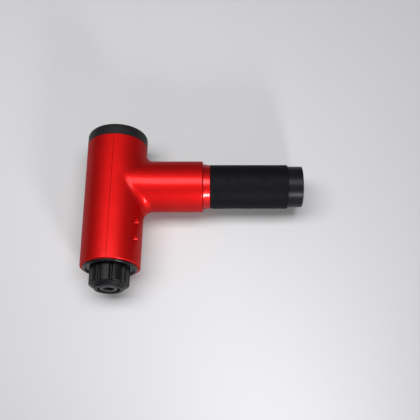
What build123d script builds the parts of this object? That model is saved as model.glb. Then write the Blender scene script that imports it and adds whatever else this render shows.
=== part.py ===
from build123d import *
import os
from math import cos, radians, sin, sqrt

# Percussion massage gun, lying on its side.
# Working axes: the barrel runs along Y with its nose at -Y, the handle runs along +X,
# and both axes meet at (0, 0, 0). The last section moves everything to the row frame.

# ---------------------------------------------------------------- barrel
barrel_front = -93.3
barrel_rear = 47.7
barrel_r_front = 31.2
barrel_r_rear = 32.9
wall = 2.6
seam = 0.35
tab_end = barrel_front + 7.8
tab_width = 5.9
tab_gap = 0.3
lip_round = 1.3

# ---------------------------------------------------------------- neck of the handle shell
neck_r = 27.6
neck_crown = 31.3
neck_straight = 46.0
neck_end = 95.1
neck_bore_r = 25.0
saddle_round = 12.0

# ---------------------------------------------------------------- screws through the barrel
screw_rows = (-48.8, -67.4)
post_r = 3.6
screw_z = 17.2
screw_r = 1.4
screw_head_r = 2.7
pocket_r = 3.7
pocket_floor = 9.5
boss_gap = 4.2

# ---------------------------------------------------------------- rear cap and control panel
cap_end = 61.5
cap_round = 4.0
panel_r = 22.6
panel_floor = 60.1
panel_face = 61.3
button_r = 7.0
button_travel = 0.8
board_y = 50.0

# ---------------------------------------------------------------- nose
ring_r = 28.4
ring_proud = 2.0
bead_r = 1.9
nose_r = 20.8
nose_core_r = 18.9
nose_root = -88.0
lobe_end = -112.6
nose_face = -116.5
nose_face_r = 15.0
nose_bore_r = 11.5
lobes = 10
groove_r = 1.5
groove_turn_first = 12.0

# ---------------------------------------------------------------- slider-crank drive
throw = 5.0
rod_length = 45.0
piston_r = 9.5
piston_front = -115.8
piston_rear = -43.0
socket_r = 5.1
socket_depth = 24.8
sleeve_wall = 1.3
slot_half = 3.7
rod_half = 3.5
big_end_r = 8.5
small_end_r = 6.0
rod_bearing_r = 5.5
wrist_r = 2.5
crank_pin_r = 3.0
running_gap = 0.05
guide_r = 12.0
bush_wall = 1.2
guide_front = -86.0
guide_rear = -68.0
disc_near = 4.6
disc_far = 9.6
counterweight_r = 19.0

# ---------------------------------------------------------------- motor in the neck
bracket_near = 11.0
bracket_far = 14.0
bracket_r = 24.6
bracket_screw_circle = 22.6
bracket_screw_r = 1.0
hub_r = 8.0
hub_end = 30.0
bearing_r = 6.5
shaft_r = 2.95
can_r = 20.5
can_near = 16.0
can_far = 34.0
can_wall = 1.3
stator_r = 17.0
stator_near = 18.5
stator_far = 28.5
poles = 12

# ---------------------------------------------------------------- battery handle
socket_near = 80.0
pack_near = 83.5
pack_r = 21.8
pack_bore_r = 20.2
collar_near = 95.4
collar_far = 103.2
collar_r_near = 24.6
collar_r_far = 23.4
grip_far = 185.9
grip_r = 23.7
handle_end = 201.9
end_ring_r = 22.1
end_cap_face = 200.6
end_cap_r = 20.4
cell_r = 9.1
cell_length = 65.0
cell_near = 110.0
pack_board_near = 179.0
jack_y = -10.5
jack_r = 4.2
jack_bore_r = 2.75
jack_pin_r = 1.0
lamp_r = 1.5
lamp_z = 12.0
switch_y = 8.5
switch_pivot_x = 195.2
switch_r = 6.0
switch_width = 8.0
switch_rest_tilt = 7.0


def rod_x(radius, near, far, y=0.0, z=0.0):
    """Round bar along X."""
    return Pos((near + far) / 2, y, z) * Rot(0, 90, 0) * Cylinder(radius, far - near)


def rod_y(radius, near, far, x=0.0, z=0.0):
    """Round bar along Y."""
    return Pos(x, (near + far) / 2, z) * Rot(-90, 0, 0) * Cylinder(radius, far - near)


def tube_x(outer, inner, near, far):
    return rod_x(outer, near, far) - rod_x(inner, near - 1, far + 1)


def tube_y(outer, inner, near, far):
    return rod_y(outer, near, far) - rod_y(inner, near - 1, far + 1)


def cone_y(radius_near, radius_far, near, far):
    """Tapered bar along Y."""
    return Pos(0, (near + far) / 2, 0) * Rot(-90, 0, 0) * Cone(radius_near, radius_far, far - near)


def block(x_near, x_far, y_near, y_far, z_near, z_far):
    middle = Pos((x_near + x_far) / 2, (y_near + y_far) / 2, (z_near + z_far) / 2)
    return middle * Box(x_far - x_near, y_far - y_near, z_far - z_near)


def around_x(count, radius):
    """Evenly spaced places around the handle axis."""
    for index in range(count):
        turn = 360.0 * index / count
        yield Rot(turn, 0, 0) * Pos(0, radius, 0)


def end_circles(shape, axis, position):
    """Edges that lie in one plane across an axis."""
    return shape.edges().filter_by_position(axis, position - 0.01, position + 0.01)


def barrel_radius(y):
    share = (y - barrel_front) / (barrel_rear - barrel_front)
    return barrel_r_front + share * (barrel_r_rear - barrel_r_front)


# ---------------------------------------------------------------- red housing
def neck_outside():
    """Neck whose crown rises towards the barrel until it meets the barrel's own crown."""
    sections = []
    stations = 4
    for index in range(stations):
        x = neck_straight * index / (stations - 1)
        rise = (neck_crown - neck_r) * (1 - x / neck_straight) ** 2
        section = Plane(origin=(x, 0, 0), x_dir=(0, 1, 0), z_dir=(1, 0, 0))
        sections.append(section * Ellipse(neck_r, neck_r + rise))
    straight = rod_x(neck_r, neck_straight, neck_end)
    return loft(sections) + straight


def housing_outside():
    barrel = cone_y(barrel_r_front, barrel_r_rear, barrel_front, barrel_rear)
    body = barrel + neck_outside()
    saddle = [
        edge
        for edge in body.edges()
        if abs(edge.center().Y) < 35 and edge.center().X < 40 and edge.center().X > 2
        and max(edge.bounding_box().size) > 20
    ]
    body = fillet(saddle, saddle_round)
    body = fillet(end_circles(body, Axis.Y, barrel_front), lip_round)
    return fillet(end_circles(body, Axis.X, neck_end), 0.8)


def housing_inside():
    past = 1.0
    barrel = cone_y(
        barrel_radius(barrel_front - past) - wall,
        barrel_radius(barrel_rear + past) - wall,
        barrel_front - past,
        barrel_rear + past,
    )
    return barrel + rod_x(neck_bore_r, 0, neck_end + past)


def screw_places():
    for y in screw_rows:
        for side in (-1, 1):
            yield y, side * screw_z


housing_solid = housing_outside()
housing_shell = housing_solid - housing_inside()

reach = 250.0
left_half = block(-reach, -seam / 2, -reach, reach, -reach, reach)
right_half = block(seam / 2, reach, -reach, reach, -reach, reach)
tab_room = block(-tab_width, 0, -reach, tab_end + tab_gap, -reach, reach)
tab_block = block(-tab_width + 0.1, -seam / 2, -reach, tab_end, -reach, reach)

top_cover = housing_shell & left_half
top_cover = top_cover - tab_room
seam_tabs = housing_shell & tab_block
handle_shell = housing_shell & right_half

for boss_y, boss_z in screw_places():
    post = rod_x(post_r, -24, -boss_gap, boss_y, boss_z) & housing_solid
    top_cover = top_cover + post
    top_cover = top_cover - rod_x(screw_r, -18, -boss_gap + 1, boss_y, boss_z)
    sleeve = rod_x(pocket_r + 1.3, boss_gap, 40, boss_y, boss_z) & housing_solid
    handle_shell = handle_shell + sleeve
    handle_shell = handle_shell - rod_x(pocket_r, pocket_floor, 40, boss_y, boss_z)
    handle_shell = handle_shell - rod_x(screw_r + 0.2, 0, 12, boss_y, boss_z)

motor_seat = tube_x(neck_bore_r + 0.2, 21.2, bracket_far, bracket_far + 3)
handle_shell = handle_shell + motor_seat
for place in around_x(4, bracket_screw_circle):
    handle_shell = handle_shell - place * rod_x(bracket_screw_r, bracket_far - 1, bracket_far + 4)

housing_screws = Part()
for screw_y, head_z in screw_places():
    head = rod_x(screw_head_r, pocket_floor, pocket_floor + 2.2, screw_y, head_z)
    shank = rod_x(screw_r, -14, pocket_floor, screw_y, head_z)
    drive = rod_x(1.3, pocket_floor + 1, pocket_floor + 3, screw_y, head_z)
    housing_screws = housing_screws + (head + shank - drive)

# ---------------------------------------------------------------- rear cap, panel, button
cap_body = rod_y(barrel_r_rear, barrel_rear + 0.2, cap_end)
cap_body = fillet(end_circles(cap_body, Axis.Y, cap_end), cap_round)
cap_plug = rod_y(barrel_r_rear - wall - 0.1, barrel_rear - 6, barrel_rear + 0.2)
cap_hollow = rod_y(barrel_r_rear - wall - 2.2, barrel_rear - 7, cap_end - 3.2)
rear_cap = cap_body + cap_plug - cap_hollow
rear_cap = rear_cap - rod_y(panel_r, panel_floor, cap_end + 1)
rear_cap = rear_cap - rod_y(button_r + 0.3, board_y, cap_end + 1)

control_lens = tube_y(panel_r - 0.1, button_r + 0.3, panel_floor, panel_face)
control_lens = fillet(end_circles(control_lens, Axis.Y, panel_face), 0.4)

button_face = panel_face - 0.1
speed_button = rod_y(button_r, 57.0, button_face)
speed_button = fillet(end_circles(speed_button, Axis.Y, button_face), 0.5)
speed_button = speed_button + rod_y(2.0, board_y + 1.8 + button_travel, 57.0)

control_board = rod_y(24.0, board_y, board_y + 1.6)
for turn in range(8):
    led_angle = radians(45 * turn)
    led = block(-1.2, 1.2, board_y + 1.6, board_y + 2.4, -0.8, 0.8)
    control_board = control_board + Pos(15 * cos(led_angle), 0, 15 * sin(led_angle)) * led

# ---------------------------------------------------------------- nose
front_ring = tube_y(ring_r, nose_r + 0.1, barrel_front - 0.4, nose_root + 1)
bead = Pos(0, barrel_front - ring_proud + bead_r, 0) * Rot(90, 0, 0) * Torus(ring_r - bead_r, bead_r)
front_ring = front_ring + bead

nose_taper = cone_y(nose_face_r, nose_core_r, nose_face, lobe_end + 0.6)
nose_core = rod_y(nose_core_r, lobe_end + 0.6, nose_root)
nose_lobes = rod_y(nose_r, lobe_end, nose_root)
nose_lobes = fillet(end_circles(nose_lobes, Axis.Y, lobe_end), 1.7)
for index in range(lobes):
    groove_turn = 360.0 * index / lobes + groove_turn_first
    groove = rod_y(groove_r, nose_face, barrel_front - 1.6, 0, nose_r + 0.2)
    groove = Rot(0, groove_turn, 0) * groove
    nose_lobes = nose_lobes - groove
fluted_nose = nose_taper + nose_core + nose_lobes
fluted_nose = fluted_nose - rod_y(nose_bore_r, nose_face - 1, nose_root + 1)

nose_wiper = tube_y(nose_bore_r, piston_r + 0.1, nose_face + 2.5, nose_face + 6.5)

# ---------------------------------------------------------------- piston guide
guide_bush = tube_y(guide_r - bush_wall, piston_r + running_gap, guide_front, guide_rear)
guide_block = tube_y(guide_r, guide_r - bush_wall, guide_front, guide_rear)
flange = tube_y(ring_r, guide_r - bush_wall, guide_front, guide_front + 4)
guide_block = guide_block + flange
for index in range(6):
    hole_turn = 60.0 * index
    hole = rod_y(4.2, guide_front - 1, guide_front + 5, 20.3, 0)
    guide_block = guide_block - Rot(0, hole_turn, 0) * hole

# ---------------------------------------------------------------- piston
wrist_y = -throw - rod_length
piston = rod_y(piston_r, piston_front, piston_rear)
piston = chamfer(end_circles(piston, Axis.Y, piston_front), 0.6)
piston = piston - rod_y(socket_r + sleeve_wall, piston_front - 1, piston_front + socket_depth)
slot_front = wrist_y - 6.0 - 2 * throw - 1.0
piston = piston - block(-slot_half, slot_half, slot_front, piston_rear + 1, -20, 20)
piston = piston - rod_x(wrist_r, -20, 20, wrist_y, 0)

socket_sleeve = tube_y(socket_r + sleeve_wall, socket_r, piston_front, piston_front + socket_depth)
mouth = end_circles(socket_sleeve, Axis.Y, piston_front).sort_by(SortBy.RADIUS)[0]
socket_sleeve = chamfer(mouth, 0.6)

wrist_stubs = Part()
for side in (-1, 1):
    stub = rod_x(wrist_r, slot_half, 8.6, wrist_y, 0)
    wrist_stubs = wrist_stubs + (stub if side > 0 else mirror(stub, Plane.YZ))

# ---------------------------------------------------------------- connecting rod
big_end = rod_x(big_end_r, -rod_half, rod_half, -throw, 0)
small_end = rod_x(small_end_r, -rod_half, rod_half, wrist_y, 0)
shank = block(-2.5, 2.5, wrist_y, -throw, -3.5, 3.5)
connecting_rod = big_end + small_end + shank
connecting_rod = connecting_rod - rod_x(rod_bearing_r, -10, 10, -throw, 0)
connecting_rod = connecting_rod - rod_x(wrist_r, -10, 10, wrist_y, 0)
rod_bearing = rod_x(rod_bearing_r, -rod_half, rod_half, -throw, 0)
rod_bearing = rod_bearing - rod_x(crank_pin_r + running_gap, -10, 10, -throw, 0)
wrist_pin = rod_x(wrist_r, -rod_half, rod_half, wrist_y, 0)

# ---------------------------------------------------------------- crank, shaft and rotor
crank_disc = rod_x(10.5, disc_near, disc_far)
counterweight = rod_x(counterweight_r, disc_near, disc_far) & block(0, 20, 3, 30, -30, 30)
crank_disc = crank_disc + counterweight
crank_disc = crank_disc - rod_x(shaft_r, 0, 20) - rod_x(crank_pin_r, 0, 20, -throw, 0)
# the pin and the shaft sit side by side, so each keeps its own half of the disc
crank_pin = rod_x(crank_pin_r, -rod_half - 0.9, disc_far, -throw, 0)
crank_pin = crank_pin - rod_x(shaft_r, disc_near, disc_far)
pin_clip = rod_x(crank_pin_r + 1.6, -rod_half - 1.9, -rod_half - 0.9, -throw, 0)
motor_shaft = rod_x(shaft_r, disc_near, can_far + 1)

rotor_can = rod_x(can_r, can_near, can_far)
rotor_can = fillet(end_circles(rotor_can, Axis.X, can_far), 1.5)
rotor_can = rotor_can - rod_x(can_r - can_wall, can_near - 1, can_far - 1.6)
rotor_can = rotor_can - rod_x(shaft_r, can_near, can_far + 1)
for place in around_x(6, 12.0):
    rotor_can = rotor_can - place * rod_x(3.2, can_far - 3, can_far + 1)

magnets = tube_x(can_r - can_wall, stator_r + 0.4, can_near + 0.5, can_far - 3)
for index in range(poles):
    gap = block(can_near - 1, can_far, -0.5, 0.5, 0, 30)
    magnets = magnets - Rot(360.0 * index / poles, 0, 0) * gap

# ---------------------------------------------------------------- motor bracket and stator
motor_bracket = rod_x(bracket_r, bracket_near, bracket_far) + rod_x(hub_r, bracket_near, hub_end)
motor_bracket = motor_bracket - rod_x(bearing_r, bracket_near - 1, bracket_near + 5)
motor_bracket = motor_bracket - rod_x(bearing_r, hub_end - 5, hub_end + 1)
motor_bracket = motor_bracket - rod_x(4.5, bracket_near - 1, hub_end + 1)
for place in around_x(4, bracket_screw_circle):
    motor_bracket = motor_bracket - place * rod_x(bracket_screw_r, bracket_near - 1, bracket_far + 1)
for index in range(6):
    window = rod_x(4.0, bracket_near - 1, bracket_far + 1, 0, 14.5)
    motor_bracket = motor_bracket - Rot(60.0 * index + 30, 0, 0) * window

motor_bearings = tube_x(bearing_r, shaft_r + running_gap, bracket_near, bracket_near + 5)
motor_bearings = motor_bearings + tube_x(bearing_r, shaft_r + running_gap, hub_end - 5, hub_end)

bracket_screws = Part()
for place in around_x(4, bracket_screw_circle):
    head = rod_x(1.9, bracket_near - 1.3, bracket_near)
    shank = rod_x(bracket_screw_r, bracket_near, bracket_far + 2.5)
    bracket_screws = bracket_screws + place * (head + shank)

stator_core = tube_x(hub_r + 2.6, hub_r, stator_near, stator_far)
stator_coils = Part()
for index in range(poles):
    turn = Rot(360.0 * index / poles, 0, 0)
    tooth = block(stator_near, stator_far, -1.2, 1.2, hub_r + 1, stator_r - 0.6)
    shoe = tube_x(stator_r, stator_r - 1.2, stator_near, stator_far)
    shoe = shoe & block(0, 60, -2.9, 2.9, 0, 30)
    stator_core = stator_core + turn * (tooth + shoe)
    coil = block(stator_near - 1, stator_far + 1, -2.2, 2.2, hub_r + 3.4, stator_r - 1.8)
    coil = coil - block(stator_near, stator_far, -1.2, 1.2, 0, 30)
    stator_coils = stator_coils + turn * coil

# ---------------------------------------------------------------- electronics in the neck
driver_board = block(40, 74, -20, 20, -0.8, 0.8)
driver_parts = Part()
for index in range(6):
    chip = block(-2.5, 2.5, -3, 3, 0.8, 2.4)
    driver_parts = driver_parts + Pos(46 + 8 * (index % 3), -10 + 20 * (index // 3), 0) * chip
for side in (-1, 1):
    driver_parts = driver_parts + Pos(70, side * 14, 5.3) * Cylinder(3.0, 9.0)
driver_parts = driver_parts + block(42, 50, -5, 5, -5.8, -0.8)

battery_socket = tube_x(neck_bore_r, pack_r + 0.3, socket_near, neck_end - 0.6)
battery_socket = battery_socket + rod_x(neck_bore_r, socket_near - 2, socket_near)
for side in (-1, 1):
    blade = block(socket_near, socket_near + 2.6, side * 8 - 3, side * 8 + 3, -0.8, 0.8)
    battery_socket = battery_socket + blade

# ---------------------------------------------------------------- battery handle
battery_tube = rod_x(pack_r, pack_near, grip_far)
battery_tube = battery_tube - rod_x(pack_bore_r, 105, grip_far + 1)
battery_tube = battery_tube - rod_x(pack_bore_r, pack_near + 2, 103)
battery_tube = chamfer(end_circles(battery_tube, Axis.X, pack_near).sort_by(SortBy.RADIUS)[-1], 0.8)

collar_length = collar_far - collar_near
collar = Cone(collar_r_near, collar_r_far, collar_length)
collar = Pos((collar_near + collar_far) / 2, 0, 0) * Rot(0, 90, 0) * collar
collar = fillet(end_circles(collar, Axis.X, collar_far), 1.0)
collar = fillet(end_circles(collar, Axis.X, collar_near), 0.3)
collar_ring = collar - rod_x(pack_r, collar_near - 1, collar_far + 1)

grip = rod_x(grip_r, collar_far, grip_far)
grip = fillet(end_circles(grip, Axis.X, grip_far), 0.5)
grip_sleeve = grip - rod_x(pack_r, collar_far - 1, grip_far + 1)

end_body = rod_x(end_ring_r, grip_far, handle_end)
end_body = fillet(end_circles(end_body, Axis.X, handle_end), 0.8)
end_body = fillet(end_circles(end_body, Axis.X, grip_far), 0.3)
end_ring = end_body - rod_x(end_cap_r, grip_far - 1, handle_end + 1)

cell_offset = cell_r * 2 / sqrt(3) + 0.15
cells = Part()
for place in around_x(3, cell_offset):
    cell_can = rod_x(cell_r, cell_near, cell_near + cell_length - 1)
    cell_tip = rod_x(3.0, cell_near, cell_near + cell_length)
    cells = cells + place * (cell_can + cell_tip)


def cell_holder(near, far):
    holder = rod_x(pack_bore_r, near, far)
    for place in around_x(3, cell_offset):
        holder = holder - place * rod_x(cell_r, cell_near - 0.6, cell_near + cell_length + 0.6)
    return holder


cell_holder_front = cell_holder(cell_near - 3, cell_near + 5)
cell_holder_rear = cell_holder(cell_near + cell_length - 6, cell_near + cell_length + 2)

pack_board_far = pack_board_near + 1.6
pack_board = rod_x(19.0, pack_board_near, pack_board_far)
pack_board = pack_board + block(pack_board_far, pack_board_far + 2.4, -6, 6, -4, 4)

end_cap = rod_x(end_cap_r, end_cap_face - 3, end_cap_face)
end_cap = end_cap - rod_x(jack_r, 190, 210, jack_y, 0)
opening_y = switch_width / 2 + 0.35
opening_z = switch_r + 0.35
switch_opening = block(190, 210, switch_y - opening_y, switch_y + opening_y, -opening_z, opening_z)
end_cap = end_cap - switch_opening
end_cap = end_cap - rod_x(lamp_r, 190, 210, 0, lamp_z)

charging_jack = rod_x(jack_r, 187.5, end_cap_face, jack_y, 0)
charging_jack = charging_jack - rod_x(jack_bore_r, 190.5, 210, jack_y, 0)
charging_jack = charging_jack + rod_x(jack_pin_r, 189.5, end_cap_face - 1.4, jack_y, 0)
charge_light = rod_x(lamp_r, end_cap_face - 5, end_cap_face + 0.3, 0, lamp_z)

rocker = rod_y(switch_r, switch_y - switch_width / 2, switch_y + switch_width / 2, switch_pivot_x, 0)
crown_x = switch_pivot_x + switch_r
for side in (-1, 1):
    relief = Pos(crown_x + 2.2, switch_y, side * 4.2) * Rot(0, side * 16, 0) * Box(4, 20, 9)
    rocker = rocker - relief
tilt = Pos(switch_pivot_x, 0, 0) * Rot(0, -switch_rest_tilt, 0) * Pos(-switch_pivot_x, 0, 0)
power_switch = tilt * rocker

# ---------------------------------------------------------------- row frame
# The origin is the middle of the bounding box's bottom face.
centre_x = (handle_end - barrel_r_rear) / 2
centre_y = (cap_end + nose_face) / 2
to_row = Pos(-centre_x, -centre_y, barrel_r_rear)

nodes = {
    "top_cover": top_cover,
    "seam_tabs": seam_tabs,
    "handle_shell": handle_shell,
    "housing_screws": housing_screws,
    "rear_cap": rear_cap,
    "control_lens": control_lens,
    "speed_button": speed_button,
    "control_board": control_board,
    "front_ring": front_ring,
    "fluted_nose": fluted_nose,
    "nose_wiper": nose_wiper,
    "guide_bush": guide_bush,
    "guide_block": guide_block,
    "piston": piston,
    "socket_sleeve": socket_sleeve,
    "wrist_stubs": wrist_stubs,
    "connecting_rod": connecting_rod,
    "rod_bearing": rod_bearing,
    "wrist_pin": wrist_pin,
    "crank_disc": crank_disc,
    "crank_pin": crank_pin,
    "pin_clip": pin_clip,
    "motor_shaft": motor_shaft,
    "rotor_can": rotor_can,
    "magnets": magnets,
    "motor_bracket": motor_bracket,
    "motor_bearings": motor_bearings,
    "bracket_screws": bracket_screws,
    "stator_core": stator_core,
    "stator_coils": stator_coils,
    "driver_board": driver_board,
    "driver_parts": driver_parts,
    "battery_socket": battery_socket,
    "battery_tube": battery_tube,
    "collar_ring": collar_ring,
    "grip_sleeve": grip_sleeve,
    "end_ring": end_ring,
    "cells": cells,
    "cell_holder_front": cell_holder_front,
    "cell_holder_rear": cell_holder_rear,
    "pack_board": pack_board,
    "end_cap": end_cap,
    "charging_jack": charging_jack,
    "charge_light": charge_light,
    "power_switch": power_switch,
}

for name, shape in nodes.items():
    export_step(to_row * shape, f"parts/{name}.step")
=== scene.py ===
import math

import bmesh
import bpy
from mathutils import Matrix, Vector


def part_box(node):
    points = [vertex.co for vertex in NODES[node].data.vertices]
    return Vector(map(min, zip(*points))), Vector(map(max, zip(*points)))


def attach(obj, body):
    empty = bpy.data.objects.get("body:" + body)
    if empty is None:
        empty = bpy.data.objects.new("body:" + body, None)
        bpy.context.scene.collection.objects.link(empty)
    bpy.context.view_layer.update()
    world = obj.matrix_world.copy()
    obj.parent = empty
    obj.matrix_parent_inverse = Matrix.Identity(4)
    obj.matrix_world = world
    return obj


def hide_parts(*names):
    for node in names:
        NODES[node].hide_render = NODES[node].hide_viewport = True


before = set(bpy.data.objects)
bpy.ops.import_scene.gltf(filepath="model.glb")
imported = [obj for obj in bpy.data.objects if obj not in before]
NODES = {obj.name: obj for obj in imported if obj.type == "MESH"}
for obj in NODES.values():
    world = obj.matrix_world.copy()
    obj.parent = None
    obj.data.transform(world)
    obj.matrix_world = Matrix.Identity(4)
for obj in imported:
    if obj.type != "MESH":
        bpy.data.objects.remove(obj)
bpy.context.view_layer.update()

MM = 0.001


# ---------------------------------------------------------------- places read from the frame
def middle(node):
    low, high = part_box(node)
    return (Vector(low) + Vector(high)) / 2


nose_low, nose_high = (Vector(corner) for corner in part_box("fluted_nose"))
BARREL_X = middle("fluted_nose").x
AXIS_Z = middle("fluted_nose").z
HANDLE_Y = middle("grip_sleeve").y
PIVOT = Vector((BARREL_X, HANDLE_Y, AXIS_Z))


# ---------------------------------------------------------------- camera
CAMERA_PLACE = PIVOT + Vector((102.8, -321.5, 642.0)) * MM
CAMERA_ELEVATION = 65.4
CAMERA_LENS = 56.6
CAMERA_SENSOR = 36.0
CAMERA_NEAR = 0.01


def make_camera():
    data = bpy.data.cameras.new("camera")
    data.lens = CAMERA_LENS
    data.sensor_width = CAMERA_SENSOR
    data.clip_start = CAMERA_NEAR
    camera = bpy.data.objects.new("camera", data)
    camera.location = CAMERA_PLACE
    camera.rotation_euler = (math.radians(90 - CAMERA_ELEVATION), 0, 0)
    bpy.context.scene.collection.objects.link(camera)
    bpy.context.scene.camera = camera


make_camera()


# ---------------------------------------------------------------- node helpers for materials
class Shader:
    """One Principled material, with short calls for its textures."""

    def __init__(self, name, roughness, metallic=0.0, **sockets):
        self.material = bpy.data.materials.new(name)
        self.material.use_nodes = True
        self.tree = self.material.node_tree
        self.shader = self.tree.nodes["Principled BSDF"]
        self.shader.inputs["Roughness"].default_value = roughness
        self.shader.inputs["Metallic"].default_value = metallic
        for socket, value in sockets.items():
            self.shader.inputs[socket.replace("_", " ")].default_value = value
        self.coordinates = self.node("ShaderNodeTexCoord")

    def node(self, kind, **settings):
        made = self.tree.nodes.new(kind)
        for key, value in settings.items():
            setattr(made, key, value)
        return made

    def link(self, source, target):
        self.tree.links.new(source, target)

    def mapped(self, scale=(1, 1, 1), turn=(0, 0, 0)):
        """Object coordinates in metres, stretched and turned."""
        mapping = self.node("ShaderNodeMapping")
        mapping.inputs["Scale"].default_value = scale
        mapping.inputs["Rotation"].default_value = turn
        self.link(self.coordinates.outputs["Object"], mapping.inputs["Vector"])
        return mapping.outputs["Vector"]

    def noise(self, scale, detail=3.0, vector=None):
        texture = self.node("ShaderNodeTexNoise")
        texture.inputs["Scale"].default_value = scale
        texture.inputs["Detail"].default_value = detail
        self.link(vector or self.mapped(), texture.inputs["Vector"])
        return texture.outputs["Fac"]

    def cells(self, scale, output="Distance"):
        texture = self.node("ShaderNodeTexVoronoi")
        texture.inputs["Scale"].default_value = scale
        self.link(self.mapped(), texture.inputs["Vector"])
        return texture.outputs[output]

    def bands(self, scale, direction, vector=None, distortion=0.0):
        texture = self.node("ShaderNodeTexWave", bands_direction=direction)
        texture.inputs["Scale"].default_value = scale
        texture.inputs["Distortion"].default_value = distortion
        self.link(vector or self.mapped(), texture.inputs["Vector"])
        return texture.outputs["Fac"]

    def colours(self, factor, *stops):
        ramp = self.node("ShaderNodeValToRGB")
        elements = ramp.color_ramp.elements
        while len(elements) < len(stops):
            elements.new(0.5)
        for element, (position, colour) in zip(elements, stops):
            element.position = position
            element.color = (*colour, 1.0)
        self.link(factor, ramp.inputs["Fac"])
        return ramp.outputs["Color"]

    def mixed(self, factor, first, second):
        mix = self.node("ShaderNodeMix", data_type="RGBA")
        self.link(factor, mix.inputs["Factor"])
        self.link(first, mix.inputs[6])
        self.link(second, mix.inputs[7])
        return mix.outputs[2]

    def spread(self, factor, low, high, source=(0.3, 0.7)):
        """Maps a texture's values to a range."""
        mapper = self.node("ShaderNodeMapRange")
        mapper.inputs["From Min"].default_value = source[0]
        mapper.inputs["From Max"].default_value = source[1]
        mapper.inputs["To Min"].default_value = low
        mapper.inputs["To Max"].default_value = high
        self.link(factor, mapper.inputs["Value"])
        return mapper.outputs["Result"]

    def base(self, colour):
        self.link(colour, self.shader.inputs["Base Color"])

    def rough(self, value):
        self.link(value, self.shader.inputs["Roughness"])

    def bump(self, height, strength, depth, beneath=None):
        bump = self.node("ShaderNodeBump")
        bump.inputs["Strength"].default_value = strength
        bump.inputs["Distance"].default_value = depth
        self.link(height, bump.inputs["Height"])
        if beneath is not None:
            self.link(beneath, bump.inputs["Normal"])
        self.link(bump.outputs["Normal"], self.shader.inputs["Normal"])
        return bump.outputs["Normal"]


def shade(colour, factor):
    return tuple(min(1.0, channel * factor) for channel in colour)


def two_tone(material, scale, colour, contrast, detail=4.0):
    """Slow variation of one colour."""
    tone = material.noise(scale, detail)
    return material.colours(tone, (0.35, shade(colour, 1 - contrast)), (0.65, shade(colour, 1 + contrast)))


# ---------------------------------------------------------------- materials
RED = (0.46, 0.0050, 0.0050)
RED_FLAKE = (0.62, 0.04, 0.04)
RED_EDGE = (0.45, 0.0, 0.0, 1.0)
RED_METALLIC = 0.88
RED_COAT_ROUGHNESS = 0.20


def red_lacquer(name, roughness, coat):
    """Satin red lacquer with fine metal flakes and a little orange peel."""
    made = Shader(name, roughness, RED_METALLIC, Specular_Tint=RED_EDGE, Coat_Weight=coat,
                  Coat_Roughness=RED_COAT_ROUGHNESS)
    flakes = made.cells(4200, output="Color")
    body = two_tone(made, 26, RED, 0.05)
    glint = made.colours(flakes, (0.0, shade(RED, 0.86)), (0.75, RED), (1.0, RED_FLAKE))
    made.base(made.mixed(made.spread(made.noise(700, 2), 0.2, 0.6), body, glint))
    made.rough(made.spread(made.noise(95, 4), roughness - 0.02, roughness + 0.03))
    peel = made.bump(made.noise(520, 2), 0.10, 0.0002)
    made.bump(made.noise(3800, 1), 0.05, 0.0001, peel)
    return made.material


def moulded_black(name, colour, roughness, grain, strength, gloss):
    """Black plastic or rubber with a moulded grain."""
    made = Shader(name, roughness, Specular_IOR_Level=gloss)
    made.base(two_tone(made, 140, colour, 0.12))
    made.rough(made.spread(made.noise(260, 3), roughness - 0.05, roughness + 0.05))
    coarse = made.bump(made.noise(grain, 3), strength, 0.0002)
    made.bump(made.cells(grain * 2.5), strength * 0.5, 0.0001, coarse)
    return made.material


def soft_touch():
    """Matte sleeve with a very fine stipple."""
    made = Shader("soft_touch", 0.66, Specular_IOR_Level=0.08)
    made.base(two_tone(made, 60, (0.0024, 0.0023, 0.0038), 0.10))
    made.rough(made.spread(made.noise(180, 4), 0.56, 0.68))
    fine = made.bump(made.cells(2600), 0.22, 0.00012)
    made.bump(made.noise(420, 3), 0.08, 0.0002, fine)
    return made.material


def turned_metal(name, colour, roughness, stretch):
    """Ground or turned metal, with fine lines."""
    made = Shader(name, roughness, 1.0)
    lines = made.noise(900, 3, made.mapped(scale=stretch))
    made.base(made.colours(lines, (0.35, shade(colour, 0.92)), (0.65, shade(colour, 1.08))))
    made.rough(made.spread(lines, roughness - 0.07, roughness + 0.09))
    made.bump(lines, 0.12, 0.0001)
    return made.material


def laminations():
    """Stack of thin steel sheets along the motor's axis."""
    made = Shader("laminations", 0.45, 0.8)
    sheets = made.bands(320, "X")
    made.base(made.colours(sheets, (0.15, (0.06, 0.06, 0.065)), (0.6, (0.27, 0.27, 0.29))))
    made.rough(made.spread(made.noise(300), 0.38, 0.55))
    made.bump(sheets, 0.4, 0.0002)
    return made.material


def winding():
    """Enamelled copper wire, laid turn by turn."""
    made = Shader("winding", 0.3, 0.85, Coat_Weight=0.4)
    turns = made.bands(260, "Z", made.mapped(turn=(0.4, 0.2, 0.1)), 1.5)
    made.base(made.colours(turns, (0.1, (0.16, 0.035, 0.01)), (0.55, (0.72, 0.25, 0.09))))
    made.rough(made.spread(turns, 0.4, 0.24, (0.0, 1.0)))
    made.bump(turns, 0.7, 0.0003)
    return made.material


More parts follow.
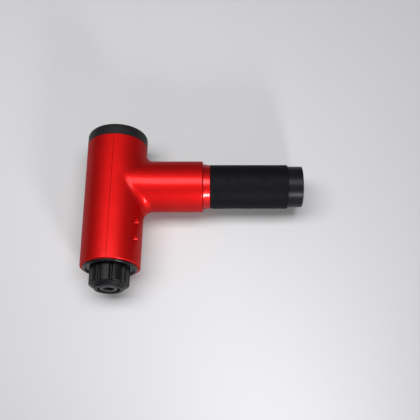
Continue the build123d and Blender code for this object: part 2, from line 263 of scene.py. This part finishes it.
def circuit():
    """Green solder mask with raised tracks and bare pads."""
    made = Shader("circuit", 0.35, Coat_Weight=0.3)
    tracks = made.node("ShaderNodeTexBrick")
    tracks.inputs["Scale"].default_value = 160
    tracks.inputs["Mortar Size"].default_value = 0.035
    tracks.inputs["Color1"].default_value = (0.006, 0.085, 0.035, 1)
    tracks.inputs["Color2"].default_value = (0.008, 0.11, 0.045, 1)
    tracks.inputs["Mortar"].default_value = (0.03, 0.22, 0.10, 1)
    made.link(made.mapped(), tracks.inputs["Vector"])
    pads = made.cells(420)
    gold = made.colours(pads, (0.10, (0.75, 0.55, 0.2)), (0.16, (0.0, 0.0, 0.0)))
    made.base(made.mixed(made.spread(pads, 1.0, 0.0, (0.1, 0.16)), tracks.outputs["Color"], gold))
    made.rough(made.spread(made.noise(200), 0.28, 0.42))
    made.bump(tracks.outputs["Fac"], 0.3, 0.0001)
    return made.material


def cell_wrap():
    """Heat-shrunk film with soft wrinkles."""
    made = Shader("cell_wrap", 0.25, Coat_Weight=0.5)
    made.base(two_tone(made, 80, (0.02, 0.12, 0.36), 0.15))
    wrinkles = made.noise(240, 4, made.mapped(scale=(0.15, 1, 1)))
    made.rough(made.spread(wrinkles, 0.2, 0.34))
    made.bump(wrinkles, 0.2, 0.0003)
    return made.material


def glowing(name, colour, strength):
    """Light pipe: a milky tip lit from behind; on the switch's printed marks the same glow is a painted
    glow.
    """
    made = Shader(name, 0.3, Emission_Strength=strength, Transmission_Weight=0.2)
    tone = made.noise(900, 2)
    lit = made.colours(tone, (0.3, shade(colour, 0.85)), (0.7, colour))
    made.base(lit)
    made.link(lit, made.shader.inputs["Emission Color"])
    made.rough(made.spread(tone, 0.25, 0.4))
    return made.material


# Stretches of a metal's noise: its lines run along the axes with the small factor.
ALONG_X = (0.04, 1, 1)
ACROSS_Y = (0.05, 1, 0.05)
ACROSS_X = (1, 0.05, 0.05)

MATERIALS = {
    "lacquer": red_lacquer("red_lacquer", 0.55, 0.20),
    "anodised": red_lacquer("red_anodised", 0.48, 0.42),
    "satin": moulded_black("satin_black", (0.0064, 0.0062, 0.0070), 0.48, 900, 0.10, 0.20),
    "gloss": moulded_black("gloss_black", (0.0035, 0.0036, 0.0046), 0.24, 300, 0.015, 0.25),
    "rubber": moulded_black("nose_rubber", (0.0026, 0.0025, 0.0034), 0.40, 1500, 0.14, 0.18),
    "grip": soft_touch(),
    "end": moulded_black("end_black", (0.0066, 0.0062, 0.0084), 0.34, 700, 0.05, 0.10),
    "nylon": moulded_black("black_nylon", (0.010, 0.010, 0.011), 0.55, 1100, 0.20, 0.30),
    "chips": moulded_black("chip_black", (0.010, 0.010, 0.010), 0.5, 1500, 0.25, 0.50),
    # The piston's near-black steel is painted shade: it darkens the socket's hollow, where shade falls.
    "shade_darkened": turned_metal("coated_steel", (0.030, 0.030, 0.033), 0.34, ACROSS_Y),
    "shaft": turned_metal("shaft_steel", (0.50, 0.50, 0.52), 0.26, ACROSS_X),
    "screws": turned_metal("black_oxide", (0.055, 0.055, 0.06), 0.36, ACROSS_X),
    "brass": turned_metal("turned_brass", (0.70, 0.47, 0.17), 0.25, ACROSS_Y),
    "alloy": turned_metal("machined_alloy", (0.62, 0.63, 0.65), 0.34, ACROSS_X),
    "weight": turned_metal("machined_iron", (0.14, 0.14, 0.145), 0.42, ACROSS_X),
    "nickel": turned_metal("nickel_plate", (0.66, 0.64, 0.60), 0.16, ALONG_X),
    "laminations": laminations(),
    "winding": winding(),
    "circuit": circuit(),
    "wrap": cell_wrap(),
    "lamp": glowing("lamp_green", (0.25, 0.85, 0.40), 0.5),
    # The marks glow by emission; on the rocker's printed marks this glow is painted light.
    "marks": glowing("panel_marks", (0.75, 0.82, 0.88), 0.6),
}

NODE_MATERIALS = {
    "lacquer": ["top_cover", "seam_tabs", "handle_shell"],
    "anodised": ["collar_ring"],
    "satin": ["rear_cap"],
    "gloss": ["control_lens", "front_ring"],
    "rubber": ["fluted_nose", "nose_wiper", "speed_button"],
    "grip": ["grip_sleeve"],
    "end": ["end_ring"],
    "nylon": ["socket_sleeve", "battery_socket", "battery_tube", "end_cap", "power_switch", "charging_jack",
              "cell_holder_front", "cell_holder_rear"],
    "chips": ["driver_parts"],
    "shade_darkened": ["piston"],
    "shaft": ["motor_shaft", "crank_pin", "wrist_pin", "wrist_stubs", "rod_bearing", "motor_bearings",
              "pin_clip"],
    "screws": ["housing_screws", "bracket_screws"],
    "brass": ["guide_bush"],
    "alloy": ["guide_block", "motor_bracket", "connecting_rod", "rotor_can"],
    "weight": ["crank_disc"],
    "nickel": ["magnets"],
    "laminations": ["stator_core"],
    "winding": ["stator_coils"],
    "circuit": ["control_board", "driver_board", "pack_board"],
    "wrap": ["cells"],
    "lamp": ["charge_light"],
}


def dress_cad_nodes():
    for key, names in NODE_MATERIALS.items():
        for name in names:
            slots = NODES[name].data.materials
            slots.clear()
            slots.append(MATERIALS[key])


dress_cad_nodes()


# ---------------------------------------------------------------- mesh helpers
def new_piece(name, vertices, faces, material, body, smooth_angle=35):
    """A mesh piece in row coordinates that rides on a body."""
    mesh = bpy.data.meshes.new(name)
    mesh.from_pydata([tuple(v) for v in vertices], [], faces)
    mesh.materials.append(MATERIALS[material])
    piece = bpy.data.objects.new(name, mesh)
    bpy.context.scene.collection.objects.link(piece)
    shell = bmesh.new()
    shell.from_mesh(mesh)
    bmesh.ops.remove_doubles(shell, verts=shell.verts, dist=1e-7)
    bmesh.ops.recalc_face_normals(shell, faces=shell.faces)
    for edge in shell.edges:
        corner = edge.calc_face_angle(0.0)
        edge.smooth = corner < math.radians(smooth_angle)
    for face in shell.faces:
        face.smooth = True
    shell.to_mesh(mesh)
    shell.free()
    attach(piece, body)
    return piece


def wrapped_grid(rows, columns):
    """Faces of a grid that closes on itself both ways."""
    faces = []
    for row in range(rows):
        below = (row + 1) % rows
        for column in range(columns):
            beside = (column + 1) % columns
            faces.append((row * columns + column, row * columns + beside,
                          below * columns + beside, below * columns + column))
    return faces


# ---------------------------------------------------------------- fluted nose
NOSE_LOBES = 10
NOSE_TURN = math.radians(12)
NOSE_RADIUS = (nose_high.x - nose_low.x) / 2
GROOVE_DEPTH = 1.9 * MM
GROOVE_WIDTH = 1.55 * MM
LOBE_CROWN = 0.40 * MM
LOBE_END = 4.0 * MM
LOBE_END_LENGTH = 1.5 * MM
FACE_EDGE_RADIUS = 15.4 * MM
FACE_ROUND = 1.1 * MM
NOSE_BORE = 11.5 * MM
BORE_LEAD_IN = 0.9 * MM
BORE_KNEE = (0.25 * MM, 0.3 * MM)
NOSE_COLUMNS = 480
LOBE_STEPS = 12
FACE_STEPS = 8


def nose_profile():
    """Closed outline (distance from the face, radius, groove share) of the nose's wall."""
    root = nose_high.y - nose_low.y
    lobe_start = LOBE_END + LOBE_END_LENGTH
    core = NOSE_RADIUS - GROOVE_DEPTH
    outline = []
    for step in range(LOBE_STEPS + 1):
        depth = root - (root - lobe_start) * step / LOBE_STEPS
        outline.append((depth, NOSE_RADIUS, 1.0))
    for step in range(1, LOBE_STEPS + 1):
        turn = math.radians(90 * step / LOBE_STEPS)
        depth = lobe_start - LOBE_END_LENGTH * math.sin(turn)
        outline.append((depth, core + GROOVE_DEPTH * math.cos(turn), math.cos(turn)))
    for step in range(1, FACE_STEPS + 1):
        share = step / FACE_STEPS
        depth = LOBE_END + (FACE_ROUND - LOBE_END) * share
        outline.append((depth, core + (FACE_EDGE_RADIUS - core) * share, 0.0))
    for step in range(1, FACE_STEPS + 1):
        turn = math.radians(90 * step / FACE_STEPS)
        depth = FACE_ROUND * (1 - math.sin(turn))
        outline.append((depth, FACE_EDGE_RADIUS - FACE_ROUND * (1 - math.cos(turn)), 0.0))
    outline.append((0.0, NOSE_BORE + BORE_LEAD_IN, 0.0))
    outline.append((BORE_KNEE[0], NOSE_BORE + BORE_KNEE[1], 0.0))
    outline.append((BORE_LEAD_IN, NOSE_BORE, 0.0))
    outline.append((root, NOSE_BORE, 0.0))
    return outline


def make_nose():
    columns = NOSE_COLUMNS
    vertices = []
    outline = nose_profile()
    for depth, radius, share in outline:
        for column in range(columns):
            turn = 2 * math.pi * column / columns
            place = (turn - NOSE_TURN) * NOSE_LOBES / (2 * math.pi)
            off = abs(place - round(place))
            along = off * 2 * math.pi * NOSE_RADIUS / NOSE_LOBES
            groove = GROOVE_DEPTH * math.exp(-((along / GROOVE_WIDTH) ** 4))
            crown = LOBE_CROWN * (1 - 2 * off) ** 2
            reach = radius - share * (groove + crown)
            vertices.append((BARREL_X + reach * math.sin(turn), nose_low.y + depth,
                             AXIS_Z + reach * math.cos(turn)))
    faces = wrapped_grid(len(outline), columns)
    nose = new_piece("nose_knob", vertices, faces, "rubber", "housing", 40)
    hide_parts("fluted_nose")


make_nose()


# ---------------------------------------------------------------- rear panel marks
PANEL_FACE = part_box("control_lens")[1][1]
BUTTON_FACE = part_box("speed_button")[1][1]
MARK_THICK = 0.06 * MM
LEVEL_MARKS = 6
LEVEL_RADIUS = 17.6 * MM
LEVEL_WIDTH = 0.9 * MM
LEVEL_GAP = 8
LEVEL_STEPS = 24

# Inner radius, width, first angle, sweep and steps of the power symbol's two strokes.
SYMBOL_RING = (2.5 * MM, 0.45 * MM, 35, 290, 40)
SYMBOL_BAR = (1.3 * MM, 2.1 * MM, -6, 12, 4)


def arc_mark(name, face_y, radius, width, start, sweep, steps, body):
    """Thin raised arc printed on a face that looks along +Y."""
    vertices = []
    for step in range(steps + 1):
        turn = math.radians(start + sweep * step / steps)
        for reach, level in ((radius, 0), (radius + width, 0), (radius + width, 1), (radius, 1)):
            vertices.append((BARREL_X + reach * math.sin(turn), face_y + level * MARK_THICK,
                             AXIS_Z + reach * math.cos(turn)))
    faces = []
    for step in range(steps):
        for side in range(4):
            near = step * 4 + side
            beside = step * 4 + (side + 1) % 4
            faces.append((near, beside, beside + 4, near + 4))
    faces.append((0, 1, 2, 3))
    faces.append((steps * 4, steps * 4 + 1, steps * 4 + 2, steps * 4 + 3))
    new_piece(name, vertices, faces, "marks", body)


def make_panel_marks():
    """Ring of level marks round the button, and the power symbol on it."""
    pitch = 360 / LEVEL_MARKS
    for index in range(LEVEL_MARKS):
        start = pitch * index + LEVEL_GAP / 2
        sweep = pitch - LEVEL_GAP
        arc_mark(f"level_mark_{index + 1}", PANEL_FACE, LEVEL_RADIUS, LEVEL_WIDTH, start, sweep, LEVEL_STEPS,
                 "housing")
    arc_mark("button_symbol_ring", BUTTON_FACE, *SYMBOL_RING, "speed_button")
    arc_mark("button_symbol_bar", BUTTON_FACE, *SYMBOL_BAR, "speed_button")


make_panel_marks()


# ---------------------------------------------------------------- handle end
END_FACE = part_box("end_cap")[1][0]

# Outer radius, inner radius and thickness of the two rims.
JACK_RIM = (4.3 * MM, 3.1 * MM, 0.5 * MM)
LAMP_RIM = (2.2 * MM, 1.55 * MM, 0.4 * MM)


def end_rim(name, node, size):
    """Small rounded nickel ring round a node on the handle's end face."""
    outer, inner, thick = size
    place = Vector((END_FACE, middle(node).y, middle(node).z))
    columns = 64
    rows = 16
    middle_radius = (outer + inner) / 2
    half = (outer - inner) / 2
    vertices = []
    for row in range(rows):
        around = 2 * math.pi * row / rows
        for column in range(columns):
            turn = 2 * math.pi * column / columns
            reach = middle_radius + half * math.cos(around)
            vertices.append((place.x + thick / 2 * math.sin(around), place.y + reach * math.sin(turn),
                             place.z + reach * math.cos(turn)))
    new_piece(name, vertices, wrapped_grid(rows, columns), "nickel", "battery_pack")


end_rim("jack_rim", "charging_jack", JACK_RIM)
end_rim("lamp_rim", "charge_light", LAMP_RIM)


# ---------------------------------------------------------------- switch marks
MARK_REACH = 2.9 * MM
BAR_LENGTH = 1.9 * MM
BAR_WIDTH = 0.5 * MM
BAR_STEPS = 4
CIRCLE_RADII = (0.65 * MM, 1.0 * MM)
CIRCLE_STEPS = 32
RAY_START = END_FACE + 50 * MM


def laid_mark(name, pairs):
    """Thin printed strip that follows the switch's face, from pairs of (y, z) points; it glows with the
    marks material, a painted glow.
    """
    vertices = []
    for pair in pairs:
        for y, z in pair:
            found, hit, _, _ = NODES["power_switch"].ray_cast(Vector((RAY_START, y, z)), Vector((-1, 0, 0)))
            surface = hit.x if found else END_FACE
            vertices.append((surface - MARK_THICK, y, z))
            vertices.append((surface + MARK_THICK, y, z))
    faces = []
    for step in range(len(pairs) - 1):
        near = step * 4
        far = near + 4
        faces.append((near, far, far + 1, near + 1))
        faces.append((near + 2, near + 3, far + 3, far + 2))
        faces.append((near + 1, far + 1, far + 3, near + 3))
        faces.append((near, near + 2, far + 2, far))
    last = (len(pairs) - 1) * 4
    closed = pairs[0] == pairs[-1]
    if not closed:
        faces.append((0, 1, 3, 2))
        faces.append((last, last + 2, last + 3, last + 1))
    new_piece(name, vertices, faces, "marks", "power_switch")


def make_switch_marks():
    """A bar on one half of the rocker and a ring on the other, both printed marks with a painted glow."""
    rocker = middle("power_switch")
    bar = []
    for step in range(BAR_STEPS + 1):
        y = rocker.y - BAR_LENGTH / 2 + BAR_LENGTH * step / BAR_STEPS
        z = rocker.z + MARK_REACH
        bar.append(((y, z - BAR_WIDTH / 2), (y, z + BAR_WIDTH / 2)))
    laid_mark("switch_mark_on", bar)
    ring = []
    for step in range(CIRCLE_STEPS + 1):
        turn = 2 * math.pi * (step % CIRCLE_STEPS) / CIRCLE_STEPS
        points = []
        for radius in CIRCLE_RADII:
            y = rocker.y + radius * math.cos(turn)
            z = rocker.z - MARK_REACH + radius * math.sin(turn)
            points.append((y, z))
        ring.append(tuple(points))
    laid_mark("switch_mark_off", ring)


make_switch_marks()


# ---------------------------------------------------------------- floor and light
FLOOR_HALF = 3.0
FLOOR_GREY = (0.46, 0.46, 0.47)
SKY_WHITE = (0.95, 0.97, 1.0, 1)
SKY_STRENGTH = 0.17

# Place from the pivot in metres, aim from the pivot, width, height, watts and spread in degrees.
SOFT_BOXES = {
    "overhead_key": ((-0.07, 0.00, 1.30), (0.0, 0.0, 0.0), 0.56, 1.70, 26, 180),
    "front_kicker": ((0.30, -0.62, 0.22), (0.07, -0.02, 0.0), 0.11, 0.11, 0.45, 60),
}


def make_floor():
    size = FLOOR_HALF
    mesh = bpy.data.meshes.new("floor")
    corners = [(-size, -size, 0), (size, -size, 0), (size, size, 0), (-size, size, 0)]
    mesh.from_pydata(corners, [], [(0, 1, 2, 3)])
    floor = bpy.data.objects.new("floor", mesh)
    made = Shader("paper_floor", 0.85)
    made.base(two_tone(made, 3, FLOOR_GREY, 0.01))
    made.bump(made.noise(900), 0.03, 0.0002)
    mesh.materials.append(made.material)
    bpy.context.scene.collection.objects.link(floor)


def soft_box(name, place, target, width, height, power, spread):
    """Rectangular area light at place that looks at target."""
    data = bpy.data.lights.new(name, "AREA")
    data.spread = math.radians(spread)
    data.shape = "RECTANGLE"
    data.size = width
    data.size_y = height
    data.energy = power
    light = bpy.data.objects.new(name, data)
    light.location = place
    light.visible_camera = False
    light.rotation_euler = (target - place).to_track_quat("-Z", "Y").to_euler()
    bpy.context.scene.collection.objects.link(light)


def make_lights():
    world = bpy.data.worlds.new("studio")
    world.use_nodes = True
    background = world.node_tree.nodes["Background"]
    background.inputs["Color"].default_value = SKY_WHITE
    background.inputs["Strength"].default_value = SKY_STRENGTH
    bpy.context.scene.world = world
    for name, (place, aim, width, height, power, spread) in SOFT_BOXES.items():
        soft_box(name, PIVOT + Vector(place), PIVOT + Vector(aim), width, height, power, spread)


make_floor()
make_lights()

bpy.context.scene.view_settings.view_transform = "Standard"
